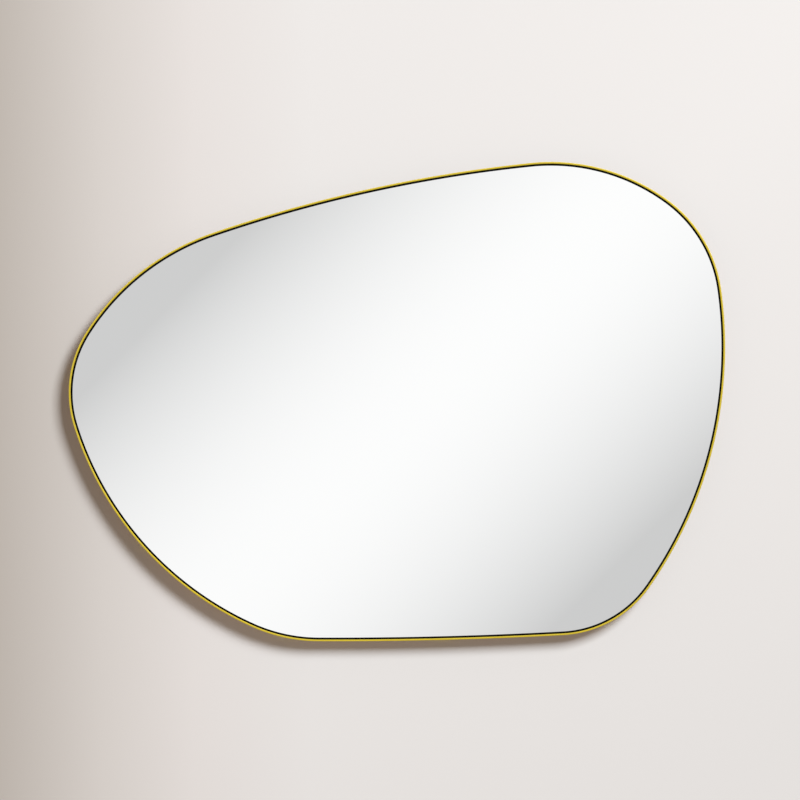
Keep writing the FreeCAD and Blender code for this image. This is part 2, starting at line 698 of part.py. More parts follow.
def add_ring_path(sketch):
    """Middle line of the ring's wire in X and Z: half a bar, a leg, the point, and back."""
    start = size("ring_joint") / 2
    bend = size("ring_bend")
    side = evaluate(f"{RING_HALF_WIDTH} - Sizes.ring_bend")
    reach = size("ring_reach")
    right_angle = math.pi / 2
    slope = math.atan2(side, reach - bend)
    across = Vector(bend * math.cos(slope), bend * math.sin(slope), 0)
    back = Vector(-across.x, across.y, 0)
    right = Vector(side, bend, 0)
    left = Vector(-side, bend, 0)
    point = Vector(0, reach, 0)
    sketch.addGeometry([
        Part.LineSegment(Vector(start, 0, 0), Vector(side, 0, 0)),
        Part.ArcOfCircle(Part.Circle(right, XY_NORMAL, bend), -right_angle, slope),
        Part.LineSegment(right + across, point + across),
        Part.ArcOfCircle(Part.Circle(point, XY_NORMAL, bend), slope, 2 * right_angle - slope),
        Part.LineSegment(point + back, left + back),
        Part.ArcOfCircle(Part.Circle(left, XY_NORMAL, bend), 2 * right_angle - slope, 3 * right_angle),
        Part.LineSegment(Vector(-side, 0, 0), Vector(-start, 0, 0)),
    ], False)
    for index in range(6):
        sketch.addConstraint(Sketcher.Constraint("Tangent", index, END, index + 1, START))
    sketch.addConstraint([
        Sketcher.Constraint("PointOnObject", 0, START, ON_X_AXIS),
        Sketcher.Constraint("Horizontal", 0),
        Sketcher.Constraint("PointOnObject", 6, END, ON_X_AXIS),
        Sketcher.Constraint("Horizontal", 6),
        Sketcher.Constraint("PointOnObject", 3, CENTRE, ON_Y_AXIS),
        Sketcher.Constraint("Equal", 1, 3),
        Sketcher.Constraint("Equal", 1, 5),
    ])
    bind(sketch, "right_end", Sketcher.Constraint("DistanceX", *ORIGIN, 0, START, start),
         "Sizes.ring_joint / 2")
    bind(sketch, "left_end", Sketcher.Constraint("DistanceX", 6, END, *ORIGIN, start),
         "Sizes.ring_joint / 2")
    bind(sketch, "bend", Sketcher.Constraint("Radius", 1, bend), "Sizes.ring_bend")
    bind(sketch, "right_side", Sketcher.Constraint("DistanceX", *ORIGIN, 1, CENTRE, side),
         f"{RING_HALF_WIDTH} - Sizes.ring_bend")
    bind(sketch, "left_side", Sketcher.Constraint("DistanceX", 5, CENTRE, *ORIGIN, side),
         f"{RING_HALF_WIDTH} - Sizes.ring_bend")
    bind(sketch, "reach", Sketcher.Constraint("DistanceY", *ORIGIN, 3, CENTRE, reach),
         "Sizes.ring_reach")


def ring_lean():
    """How far the ring leans towards the board at rest, in degrees."""
    drop = evaluate(f"{EYE_HEIGHT} - Sizes.ring_wire / 2 - Sizes.ring_rest_gap")
    reach = evaluate("Sizes.ring_reach + Sizes.ring_bend")
    return math.degrees(math.asin(drop / reach))


def make_ring(name, side):
    """A three-sided wire ring with its straight bar in the strap's eye."""
    body = make_body(f"hanger_ring_{name}")
    path = make_sketch(body, "path", "XZ_Plane")
    add_ring_path(path)
    section = make_sketch(body, "section", "YZ_Plane", "Sizes.ring_joint / 2")
    wire = size("ring_wire") / 2
    section.addGeometry(Part.Circle(Vector(0, 0, 0), XY_NORMAL, wire), False)
    section.addConstraint(Sketcher.Constraint("Coincident", 0, CENTRE, *ORIGIN))
    bind(section, "wire", Sketcher.Constraint("Radius", 0, wire), "Sizes.ring_wire / 2")
    doc.recompute()
    pipe = body.newObject("PartDesign::AdditivePipe", f"{body.Name}_bent")
    pipe.Profile = section
    pipe.Spine = (path, [])
    doc.recompute()
    lean = FreeCAD.Rotation(Vector(1, 0, 0), ring_lean())
    body.Placement = FreeCAD.Placement(Vector(0, 0, 0), lean)
    place(body, x=hanger_x(side), y=f"-({BOARD_REAR}) + {EYE_HEIGHT}", z="Sizes.hanger_height")
    return body


def make_hanger(name, side):
    """One hanger: strap, ring and the two screws that hold the strap on the board."""
    screws = []
    for order in ("first", "second"):
        screw = make_screw(f"hanger_screw_{name}_{order}")
        place(screw, x=hanger_x(side), y=f"-({STRAP_REAR})",
              z=f"Sizes.hanger_height - Sizes.strap_{order}_screw")
        screws.append(screw)
    return [make_strap(name, side), make_ring(name, side), group_screws(f"hanger_screws_{name}", screws)]


# ---------------------------------------------------------------- whole mirror


def make_mirror():
    """Every piece of the mirror that gets a file of its own."""
    pieces = [make_frame_strip(), make_mirror_glass(), make_backing_board()]
    pieces += make_tape_strips()
    pieces += make_lugs()
    for name, side in hanger_sides():
        pieces += make_hanger(name, side)
    doc.recompute()
    return pieces


def check(pieces):
    """Stop if any object failed, any sketch is loose or any piece has no sound shape."""
    for item in doc.Objects:
        if "Invalid" in item.State or "Error" in item.State:
            raise RuntimeError(f"{item.Name} failed: {item.State}")
        if item.TypeId == "Sketcher::SketchObject" and item.solve() != 0:
            raise RuntimeError(f"{item.Name} doesn't solve")
    for piece in pieces:
        if piece.Shape.isNull() or not piece.Shape.isValid():
            raise RuntimeError(f"{piece.Label} has no valid shape")


def write(pieces):
    """Write each piece to a file named after it."""
    os.makedirs("parts", exist_ok=True)
    for piece in pieces:
        piece.Shape.exportStep(f"parts/{piece.Label}.step")
        solids = len(piece.Shape.Solids)
        print(f"{piece.Label}: {solids} solid(s), {piece.Shape.Volume / 1000:.3f} cm3")


pieces = make_mirror()
check(pieces)
write(pieces)
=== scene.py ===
"""Looks for an irregular wall mirror: satin gold strip frame, silvered glass, black reveal.

Metres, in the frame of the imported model: +X right and +Z up as seen from the front, the wall is the
plane Y = 0 and the glass faces -Y. The outline is the same chain of ten tangent arcs as the solids'.
Sizes of the object are written in millimetres and turned into metres where a mesh is made.
"""
import math

import bmesh
import bpy
from mathutils import Matrix, Vector


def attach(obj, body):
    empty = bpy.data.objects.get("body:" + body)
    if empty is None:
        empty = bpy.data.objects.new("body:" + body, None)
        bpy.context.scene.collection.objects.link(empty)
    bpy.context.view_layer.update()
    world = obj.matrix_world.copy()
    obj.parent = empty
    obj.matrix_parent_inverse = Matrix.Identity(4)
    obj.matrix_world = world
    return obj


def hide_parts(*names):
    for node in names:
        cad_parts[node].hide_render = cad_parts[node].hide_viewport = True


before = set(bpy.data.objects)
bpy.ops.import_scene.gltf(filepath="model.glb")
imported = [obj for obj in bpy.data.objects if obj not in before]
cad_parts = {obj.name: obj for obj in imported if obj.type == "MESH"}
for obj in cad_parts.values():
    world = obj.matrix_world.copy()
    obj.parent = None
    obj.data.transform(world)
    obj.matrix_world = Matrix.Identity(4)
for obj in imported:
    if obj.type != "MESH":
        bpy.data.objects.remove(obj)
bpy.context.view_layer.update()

MM = 0.001

# ---------------------------------------------------------------- outline and depths, millimetres

# Corner arcs as (x, z, radius) of the outer face. Directions are in degrees.
LOWER_RIGHT = (219.5, -165.8, 154.5)
UPPER_RIGHT = (211.0, 57.0, 272.0)
UPPER_RIGHT_TIGHT = 183.0
UPPER_RIGHT_DIRECTION = 54.0
LEFT = (-145.5, -83.0, 332.5)
LEFT_TIGHT = 154.5
LEFT_DIRECTION = 147.5
LOWER_LEFT = (-106.5, -103.0, 225.5)

# Radii of the shallow side arcs.
RIGHT_SIDE = 573.0
TOP_SIDE = 1965.0
LEFT_SIDE = 450.0
BOTTOM_SIDE = 5800.0

FRAME_DEPTH = 25.0
FRAME_WALL = 2.5
FRONT_ROUND = 0.6
REAR_ROUND = 0.25
FRONT_LIP = 1.5
REVEAL = 2.5
GLASS_THICKNESS = 4.0
GLASS_ARRIS = 0.2
TAPE_THICKNESS = 1.0
BOARD_THICKNESS = 6.0
BOARD_CLEARANCE = 0.1
BOARD_EDGE = 0.3
LUG_THICKNESS = 2.0
LUG_WIDTH = 20.0
LUG_HOLE_REACH = 9.5
STRAP_STACK = 2.05
HANGER_MIDDLE = 26.0
HANGER_SPACING = 450.0
HANGER_HEIGHT = 150.0
STRAP_SCREW_DROPS = (9.0, 26.0)

# Depths, measured out from the wall.
GLASS_FRONT = FRAME_DEPTH - FRONT_LIP
GLASS_BACK = GLASS_FRONT - GLASS_THICKNESS
BOARD_FRONT = GLASS_BACK - TAPE_THICKNESS
BOARD_REAR = BOARD_FRONT - BOARD_THICKNESS
LUG_REAR = BOARD_REAR - LUG_THICKNESS

OUTLINE_STEP = 4.0
ROUND_STEPS = 6


def tight_arc(large, radius, direction):
    """A tight arc that touches a large one from inside, in a direction given in degrees."""
    angle = math.radians(direction)
    reach = large[2] - radius
    return (large[0] + reach * math.cos(angle), large[1] + reach * math.sin(angle), radius)


def side_arc(before, after, radius):
    """A shallow arc that touches the arcs before and after it, which lie inside it."""
    to_before = radius - before[2]
    to_after = radius - after[2]
    apart = math.hypot(after[0] - before[0], after[1] - before[1])
    along = (to_before ** 2 - to_after ** 2 + apart ** 2) / (2 * apart)
    across = math.sqrt(to_before ** 2 - along ** 2)
    unit = ((after[0] - before[0]) / apart, (after[1] - before[1]) / apart)
    x = before[0] + along * unit[0] - across * unit[1]
    z = before[1] + along * unit[1] + across * unit[0]
    return (x, z, radius)


def meeting_direction(one, two):
    """Direction of the outline's normal where two touching arcs meet, in radians."""
    sign = 1 if one[2] > two[2] else -1
    return math.atan2(sign * (two[1] - one[1]), sign * (two[0] - one[0]))


def outline_arcs():
    """The ten arcs, anticlockwise, each with its start and end direction."""
    right_tight = tight_arc(UPPER_RIGHT, UPPER_RIGHT_TIGHT, UPPER_RIGHT_DIRECTION)
    left_tight = tight_arc(LEFT, LEFT_TIGHT, LEFT_DIRECTION)
    arcs = [
        LOWER_RIGHT,
        side_arc(LOWER_RIGHT, right_tight, RIGHT_SIDE),
        right_tight,
        UPPER_RIGHT,
        side_arc(UPPER_RIGHT, LEFT, TOP_SIDE),
        LEFT,
        left_tight,
        side_arc(left_tight, LOWER_LEFT, LEFT_SIDE),
        LOWER_LEFT,
        side_arc(LOWER_LEFT, LOWER_RIGHT, BOTTOM_SIDE),
    ]
    meetings = [meeting_direction(one, two) for one, two in zip(arcs, arcs[1:] + arcs[:1])]
    spans = []
    for index, arc in enumerate(arcs):
        start = meetings[index - 1]
        turn = (meetings[index] - start) % (2 * math.pi)
        spans.append((arc, start, start + turn))
    return spans


def outline_samples():
    """Evenly spaced places round the outline, as (arc, direction, distance), and its length."""
    samples = []
    travelled = 0.0
    for arc, start, end in outline_arcs():
        length = arc[2] * (end - start)
        steps = max(2, round(length / OUTLINE_STEP))
        for step in range(steps):
            angle = start + (end - start) * step / steps
            samples.append((arc, angle, travelled + length * step / steps))
        travelled += length
    return samples, travelled


def arc_middles():
    """The arcs and the direction to the middle of each, where the lugs are."""
    return [(arc, (start + end) / 2) for arc, start, end in outline_arcs()]


def arc_point(arc, angle, inset, depth):
    """A place on an arc, moved in from the outer face and out from the wall, in metres."""
    x, z, radius = arc
    reach = radius - inset
    return Vector((x + reach * math.cos(angle), -depth, z + reach * math.sin(angle))) * MM


SAMPLES, PERIMETER = outline_samples()

# ---------------------------------------------------------------- mesh helpers


def add_object(name, mesh, materials):
    """Link a mesh as an object with its materials."""
    piece = bpy.data.objects.new(name, mesh)
    bpy.context.scene.collection.objects.link(piece)
    for material in materials:
        mesh.materials.append(material)
    return piece


def finish_mesh(bm, name):
    """Turn a bmesh into a mesh with outward normals."""
    bmesh.ops.recalc_face_normals(bm, faces=bm.faces)
    mesh = bpy.data.meshes.new(name)
    bm.to_mesh(mesh)
    bm.free()
    return mesh


def quarter(inset, depth, radius, start):
    """A quarter round in the section plane, clockwise to its start direction in degrees."""
    points = []
    for step in reversed(range(ROUND_STEPS + 1)):
        angle = math.radians(start + 90 * step / ROUND_STEPS)
        points.append((inset + radius * math.cos(angle), depth + radius * math.sin(angle)))
    return points


def sweep(bm, section, closed):
    """Sweep a section of (inset, depth) points round the outline. Returns the rows of vertices."""
    rows = [[bm.verts.new(arc_point(arc, angle, inset, depth)) for inset, depth in section]
            for arc, angle, along in SAMPLES]
    uv_layer = bm.loops.layers.uv.verify()
    widths = [0.0]
    for one, two in zip(section, section[1:] + section[:1]):
        widths.append(widths[-1] + math.hypot(two[0] - one[0], two[1] - one[1]))
    strips = len(section) if closed else len(section) - 1
    ends = [along for arc, angle, along in SAMPLES[1:]] + [PERIMETER]
    for index, row in enumerate(rows):
        following = rows[(index + 1) % len(rows)]
        start = SAMPLES[index][2]
        end = ends[index]
        for place in range(strips):
            after = (place + 1) % len(section)
            face = bm.faces.new((row[place], row[after], following[after], following[place]))
            face.smooth = True
            corners = ((start, widths[place]), (start, widths[place + 1]),
                       (end, widths[place + 1]), (end, widths[place]))
            for loop, (along, across) in zip(face.loops, corners):
                loop[uv_layer].uv = (along * MM, across * MM)
    return rows


def make_slab(name, inset, arris, front, rear, materials, used):
    """A flat piece cut to the outline, its edge broken by an arris.

    used tells which of the materials are on its front, its edge and its rear.
    """
    section = [
        (inset + arris, front),
        (inset, front - arris),
        (inset, rear + arris),
        (inset + arris, rear),
    ]
    bm = bmesh.new()
    rows = sweep(bm, section, closed=False)
    for face in bm.faces:
        face.smooth = False
        face.material_index = used[1]
    bm.faces.new([row[0] for row in rows]).material_index = used[0]
    bm.faces.new([row[-1] for row in rows]).material_index = used[2]
    return add_object(name, finish_mesh(bm, name), materials)


# ---------------------------------------------------------------- node helpers


def rgb(red, green, blue):
    """An opaque colour."""
    return (red, green, blue, 1.0)


def grey(value):
    """An opaque grey."""
    return rgb(value, value, value)


class NodeTree:
    """Short calls for building a node tree. Values are numbers, colours or other nodes' outputs."""

    def __init__(self, tree):
        self.tree = tree

    def add(self, kind, **settings):
        node = self.tree.nodes.new(kind)
        for key, value in settings.items():
            setattr(node, key, value)
        return node

    def link(self, source, target):
        self.tree.links.new(source, target)

    def feed(self, value, socket):
        """Link an output to a socket, or set the socket's own value."""
        if isinstance(value, bpy.types.NodeSocket):
            self.link(value, socket)
        else:
            socket.default_value = value

    def math(self, operation, first, second=None):
        node = self.add("ShaderNodeMath", operation=operation)
        self.feed(first, node.inputs[0])
        if second is not None:
            self.feed(second, node.inputs[1])
        return node.outputs["Value"]

    def mix(self, factor, low, high, blend="MIX"):
        """One colour at a factor of 0 and another at 1, or the second blended over the first."""
        node = self.add("ShaderNodeMix", data_type="RGBA", blend_type=blend)
        self.feed(factor, node.inputs["Factor"])
        self.feed(low, node.inputs["A"])
        self.feed(high, node.inputs["B"])
        return node.outputs["Result"]

    def split(self, vector):
        """The X, Y and Z of a vector."""
        node = self.add("ShaderNodeSeparateXYZ")
        self.link(vector, node.inputs["Vector"])
        return node.outputs["X"], node.outputs["Y"], node.outputs["Z"]

    def spread(self, factor, low, high, start=0.0, end=1.0, smooth=False):
        """Map a factor from start and end to low and high, held at both."""
        node = self.add("ShaderNodeMapRange")
        if smooth:
            node.interpolation_type = "SMOOTHSTEP"
        node.inputs["From Min"].default_value = start
        node.inputs["From Max"].default_value = end
        node.inputs["To Min"].default_value = low
        node.inputs["To Max"].default_value = high
        self.link(factor, node.inputs["Value"])
        return node.outputs["Result"]

    def ramp(self, factor, stops):
        """Colour ramp with stops of (position, colour)."""
        node = self.add("ShaderNodeValToRGB")
        elements = node.color_ramp.elements
        while len(elements) < len(stops):
            elements.new(0.5)
        for element, (position, colour) in zip(elements, stops):
            element.position = position
            element.color = colour
        self.link(factor, node.inputs["Fac"])
        return node.outputs["Color"]


class MaterialTree(NodeTree):
    """A new material's node tree, with calls for its surface."""

    def __init__(self, name):
        self.material = bpy.data.materials.new(name)
        self.material.use_nodes = True
        super().__init__(self.material.node_tree)
        self.shader = self.tree.nodes["Principled BSDF"]

    def set(self, **values):
        """Set the shader's own sockets."""
        for key, value in values.items():
            self.shader.inputs[key.replace("_", " ")].default_value = value

    def coordinates(self, scale=(1.0, 1.0, 1.0), kind="Object"):
        """Texture coordinates scaled along each axis."""
        source = self.add("ShaderNodeTexCoord")
        mapping = self.add("ShaderNodeMapping")
        mapping.inputs["Scale"].default_value = scale
        self.link(source.outputs[kind], mapping.inputs["Vector"])
        return mapping.outputs["Vector"]

    def noise(self, vector, scale, detail=4.0, roughness=0.5):
        node = self.add("ShaderNodeTexNoise")
        node.inputs["Scale"].default_value = scale
        node.inputs["Detail"].default_value = detail
        node.inputs["Roughness"].default_value = roughness
        self.link(vector, node.inputs["Vector"])
        return node.outputs["Fac"]

    def colour(self, output):
        self.link(output, self.shader.inputs["Base Color"])

    def roughness(self, factor, low, high, start=0.0, end=1.0):
        """Roughness from low to high as a factor goes from start to end."""
        self.link(self.spread(factor, low, high, start, end), self.shader.inputs["Roughness"])

    def bump(self, height, strength, distance):
        node = self.add("ShaderNodeBump")
        node.inputs["Strength"].default_value = strength
        node.inputs["Distance"].default_value = distance
        self.link(height, node.inputs["Height"])
        self.link(node.outputs["Normal"], self.shader.inputs["Normal"])


# ---------------------------------------------------------------- materials


def gold_material():
    """Satin gold-coloured strip: faint colour drift and hairlines along the strip."""
    nodes = MaterialTree("gold")
    nodes.set(Metallic=1.0)
    drift = nodes.noise(nodes.coordinates(), 9.0)
    nodes.colour(nodes.ramp(drift, [(0.3, rgb(0.95, 0.71, 0.055)), (0.7, rgb(1.0, 0.78, 0.085))]))
    hairlines = nodes.noise(nodes.coordinates((22.0, 2400.0, 1.0), "UV"), 1.0, detail=3.0)
    nodes.roughness(hairlines, 0.28, 0.36, start=0.3, end=0.7)
    nodes.bump(hairlines, strength=0.05, distance=0.00001)
    return nodes.material


def silver_material():
    """Silvered glass seen from the front, with a hint of uneven polish."""
    nodes = MaterialTree("mirror_silver")
    nodes.set(Metallic=1.0, Base_Color=rgb(0.985, 0.99, 0.988))
    film = nodes.noise(nodes.coordinates(), 14.0, detail=3.0)
    nodes.roughness(film, 0.0, 0.012, start=0.35, end=0.75)
    return nodes.material


def ground_glass_material():
    """The glass's ground edge: dark green, with grinding lines across it."""
    nodes = MaterialTree("glass_edge")
    nodes.set(Coat_Weight=0.1, Coat_Roughness=0.2, IOR=1.52, Specular_IOR_Level=0.25)
    lines = nodes.noise(nodes.coordinates((900.0, 300.0, 1.0), "UV"), 1.0, detail=5.0, roughness=0.7)
    nodes.colour(nodes.ramp(lines, [(0.3, rgb(0.020, 0.036, 0.030)), (0.75, rgb(0.050, 0.075, 0.064))]))
    nodes.roughness(lines, 0.28, 0.5)
    nodes.bump(lines, strength=0.3, distance=0.00003)
    return nodes.material


def mirror_paint_material():
    """Grey protective paint on the glass's back."""
    nodes = MaterialTree("mirror_paint")
    speckle = nodes.noise(nodes.coordinates(), 900.0)
    nodes.colour(nodes.ramp(speckle, [(0.35, rgb(0.16, 0.17, 0.18)), (0.7, rgb(0.22, 0.23, 0.24))]))
    nodes.roughness(speckle, 0.45, 0.6)
    return nodes.material


def black_board_material():
    """Black lacquered fibreboard on the board's front and edge, with a little fibre showing."""
    nodes = MaterialTree("board_black")
    nodes.set(Specular_IOR_Level=0.08)
    fibre = nodes.noise(nodes.coordinates((1.0, 4.0, 1.0)), 1100.0, detail=5.0, roughness=0.65)
    nodes.colour(nodes.ramp(fibre, [(0.35, grey(0.003)), (0.8, rgb(0.009, 0.008, 0.008))]))
    nodes.roughness(fibre, 0.45, 0.65)
    nodes.bump(fibre, strength=0.4, distance=0.0001)
    return nodes.material


def raw_board_material():
    """Bare fibreboard on the rear: tan, with short fibres and faint clouds."""
    nodes = MaterialTree("board_raw")
    fibre = nodes.noise(nodes.coordinates((1.0, 1.0, 2.2)), 520.0, detail=8.0, roughness=0.72)
    tan = nodes.ramp(fibre, [
        (0.28, rgb(0.19, 0.115, 0.062)),
        (0.5, rgb(0.33, 0.215, 0.125)),
        (0.75, rgb(0.47, 0.335, 0.21)),
    ])
    clouds = nodes.noise(nodes.coordinates(), 7.0, detail=3.0)
    shade = nodes.ramp(clouds, [(0.3, grey(0.86)), (0.7, grey(1.0))])
    nodes.colour(nodes.mix(1.0, tan, shade, blend="MULTIPLY"))
    nodes.roughness(fibre, 0.62, 0.82)
    nodes.bump(fibre, strength=0.35, distance=0.00015)
    return nodes.material


def foam_material():
    """White closed-cell foam tape."""
    nodes = MaterialTree("foam")
    cells = nodes.noise(nodes.coordinates(), 2400.0, detail=3.0)
    nodes.colour(nodes.ramp(cells, [(0.3, grey(0.62)), (0.7, grey(0.82))]))
    nodes.roughness(cells, 0.75, 0.95)
    nodes.bump(cells, strength=0.6, distance=0.0002)
    return nodes.material


def plated_material(name, dark, light, low, high):
    """Plated steel with a mottled finish, its roughness from low to high, and fine tumbling marks."""
    nodes = MaterialTree(name)
    nodes.set(Metallic=1.0)
    place = nodes.coordinates()
    mottle = nodes.noise(place, 320.0, detail=5.0, roughness=0.6)
    marks = nodes.noise(place, 2600.0, roughness=0.7)
    nodes.colour(nodes.ramp(mottle, [(0.3, dark), (0.7, light)]))
    nodes.roughness(mottle, low, high, start=0.3, end=0.7)
    nodes.bump(marks, strength=0.25, distance=0.00003)
    return nodes.material


GOLD = gold_material()
GOLD_WELD = plated_material("gold_weld", rgb(0.72, 0.50, 0.06), rgb(0.88, 0.65, 0.10), 0.26, 0.42)
SILVER = silver_material()
GROUND_GLASS = ground_glass_material()
MIRROR_PAINT = mirror_paint_material()
BLACK_BOARD = black_board_material()
RAW_BOARD = raw_board_material()
FOAM = foam_material()
ZINC = plated_material("zinc", rgb(0.58, 0.59, 0.60), rgb(0.74, 0.74, 0.72), 0.28, 0.42)
NICKEL = plated_material("nickel", rgb(0.66, 0.65, 0.62), rgb(0.80, 0.79, 0.76), 0.16, 0.27)

# ---------------------------------------------------------------- frame, glass and board


def make_frame_strip():
    """The gold strip, with its front edges rounded over and its rear edges broken."""
    front = FRAME_DEPTH - FRONT_ROUND
    section = quarter(REAR_ROUND, REAR_ROUND, REAR_ROUND, 180)
    section += quarter(FRONT_ROUND, front, FRONT_ROUND, 90)
    section += quarter(FRAME_WALL - FRONT_ROUND, front, FRONT_ROUND, 0)
    section += quarter(FRAME_WALL - REAR_ROUND, REAR_ROUND, REAR_ROUND, 270)
    bm = bmesh.new()
    sweep(bm, section, closed=True)
    piece = add_object("gold_frame", finish_mesh(bm, "gold_frame"), [GOLD])
    piece.modifiers.new("even_normals", "WEIGHTED_NORMAL")
    piece.visible_diffuse = False
    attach(piece, "root")
    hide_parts("frame_strip")


def make_mirror_glass():
    """The glass: silvered face, ground arris and edge, painted back."""
    materials = [SILVER, GROUND_GLASS, MIRROR_PAINT]
    inset = FRAME_WALL + REVEAL
    piece = make_slab("mirror_pane", inset, GLASS_ARRIS, GLASS_FRONT, GLASS_BACK, materials, (0, 1, 2))
    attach(piece, "root")
    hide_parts("mirror_glass")


def make_backing_board():
    """The fibreboard: black in front and on its edge, close enough to the strip to hide the wall."""
    materials = [BLACK_BOARD, RAW_BOARD]
    inset = FRAME_WALL + BOARD_CLEARANCE
    piece = make_slab("fibre_board", inset, BOARD_EDGE, BOARD_FRONT, BOARD_REAR, materials, (0, 0, 1))
    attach(piece, "root")
    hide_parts("backing_board")


# ---------------------------------------------------------------- weld beads, millimetres

BEAD_RADIUS = 1.7
BEAD_RIPPLE = 0.12
BEAD_RIPPLE_LENGTH = 1.5
BEAD_TAPER = 2.0
BEAD_END = 0.08
BEAD_STEPS = 56
BEAD_ROUND_STEPS = 6


def bead_radius(along):
    """Size of a weld bead at a distance from its middle: rippled, and tapered at both ends."""
    taper = min(1.0, (LUG_WIDTH / 2 - abs(along)) / BEAD_TAPER)
    ripple = 1 + BEAD_RIPPLE * abs(math.sin(math.pi * along / BEAD_RIPPLE_LENGTH))
    return BEAD_RADIUS * math.sqrt(max(taper, BEAD_END)) * ripple


def bead_section(radius):
    """The corner between lug and strip, and a quarter round from one to the other."""
    points = [(FRAME_WALL, LUG_REAR)]
    for step in range(BEAD_ROUND_STEPS + 1):
        turn = math.pi / 2 * step / BEAD_ROUND_STEPS
        points.append((FRAME_WALL + radius * math.cos(turn), LUG_REAR - radius * math.sin(turn)))
    return points


def add_bead(bm, arc, middle):
    """A bead in the corner between a lug's rear face and the strip, closed all round."""
    rows = []
    for step in range(BEAD_STEPS + 1):
        along = LUG_WIDTH * (step / BEAD_STEPS - 0.5)
        angle = middle + along / (arc[2] - FRAME_WALL)
        section = bead_section(bead_radius(along))
        rows.append([bm.verts.new(arc_point(arc, angle, inset, depth)) for inset, depth in section])
    corners = len(rows[0])
    for one, two in zip(rows, rows[1:]):
        for part in range(corners):
            after = (part + 1) % corners
            face = bm.faces.new((one[part], one[after], two[after], two[part]))
            face.smooth = 0 < part < corners - 1
    bm.faces.new(rows[0])
    bm.faces.new(rows[-1])


def make_weld_beads():
    """The beads that fix the lugs in the strip, plated over with it."""
    bm = bmesh.new()
    for arc, middle in arc_middles():
        add_bead(bm, arc, middle)
    piece = add_object("weld_beads", finish_mesh(bm, "weld_beads"), [GOLD_WELD])
    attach(piece, "root")


# ---------------------------------------------------------------- screws, millimetres

HEAD_RADIUS = 3.5
HEAD_HEIGHT = 2.2
HEAD_RIM = 0.6
HEAD_BREAK = 0.15
DOME_POWER = 0.8
SHANK_RADIUS = 1.6
SHANK_LENGTH = 7.4
POINT_LENGTH = 1.8
LATHE_STEPS = 40
DOME_STEPS = 8
RECESS_REACH = 2.0
RECESS_HALF_WIDTH = 0.42
RECESS_DEPTH = 1.5
RECESS_TAPER = 0.45
RECESS_OVERSHOOT = 0.2
SHARP_ANGLE = math.radians(32)
SCREW_TURN = math.radians(137.5)


def screw_profile():
    """Radius and height of a pan-head screw, from the top of the head to the point."""
    rise = HEAD_HEIGHT - HEAD_RIM
    points = []
    for step in range(DOME_STEPS + 1):
        angle = math.pi / 2 * step / DOME_STEPS
        radius = HEAD_RADIUS * math.sin(angle) ** DOME_POWER
        points.append((radius, HEAD_RIM + rise * math.cos(angle) ** DOME_POWER))
    points += [
        (HEAD_RADIUS, HEAD_BREAK),
        (HEAD_RADIUS - HEAD_BREAK, 0.0),
        (SHANK_RADIUS, 0.0),
        (SHANK_RADIUS, POINT_LENGTH - SHANK_LENGTH),
        (0.0, -SHANK_LENGTH),
    ]
    return points


def lathe(profile):
    """Turn a profile of (radius, height) points about Z. Its first and last points are on the axis."""
    bm = bmesh.new()
    top = bm.verts.new((0, 0, profile[0][1]))
    bottom = bm.verts.new((0, 0, profile[-1][1]))
    turns = [2 * math.pi * step / LATHE_STEPS for step in range(LATHE_STEPS)]
    rows = []
    for radius, height in profile[1:-1]:
        rows.append([bm.verts.new((radius * math.cos(t), radius * math.sin(t), height)) for t in turns])
    for step in range(LATHE_STEPS):
        after = (step + 1) % LATHE_STEPS
        bm.faces.new((top, rows[0][step], rows[0][after]))
        for one, two in zip(rows, rows[1:]):
            bm.faces.new((one[step], two[step], two[after], one[after]))
        bm.faces.new((rows[-1][step], bottom, rows[-1][after]))
    return finish_mesh(bm, "lathe")


def cross_outline(reach, half):
    """The twelve corners of a cross, from its reach and half the width of its arms."""
    arm_corners = [(reach, -half), (reach, half), (half, half)]
    corners = []
    for turn in range(4):
        angle = math.pi / 2 * turn
        for x, y in arm_corners:
            corners.append((x * math.cos(angle) - y * math.sin(angle),
                            x * math.sin(angle) + y * math.cos(angle)))
    return corners


def recess_mesh():
    """The shape that the cross recess takes out of the head, narrower at its floor."""
    bm = bmesh.new()
    rows = []
    ends = ((HEAD_HEIGHT + RECESS_OVERSHOOT, 1.0), (HEAD_HEIGHT - RECESS_DEPTH, RECESS_TAPER))
    for height, size in ends:
        corners = cross_outline(RECESS_REACH * size, RECESS_HALF_WIDTH * (1 + size) / 2)
        rows.append([bm.verts.new((x, y, height)) for x, y in corners])
    top, floor = rows
    bm.faces.new(top)
    bm.faces.new(floor)
    for step in range(len(top)):
        after = (step + 1) % len(top)
        bm.faces.new((top[step], floor[step], floor[after], top[after]))
    return finish_mesh(bm, "recess")


def screw_mesh():
    """One screw with its recess cut, in millimetres, its head towards +Z."""
    screw = add_object("screw_blank", lathe(screw_profile()), [])
    cutter = add_object("recess_blank", recess_mesh(), [])
    cut = screw.modifiers.new("recess", "BOOLEAN")
    cut.operation = "DIFFERENCE"
    cut.object = cutter
    view = bpy.context.evaluated_depsgraph_get()
    mesh = bpy.data.meshes.new_from_object(screw.evaluated_get(view))
    bpy.data.objects.remove(screw)
    bpy.data.objects.remove(cutter)
    for face in mesh.polygons:
        face.use_smooth = True
    mesh.set_sharp_from_angle(angle=SHARP_ANGLE)
    return mesh


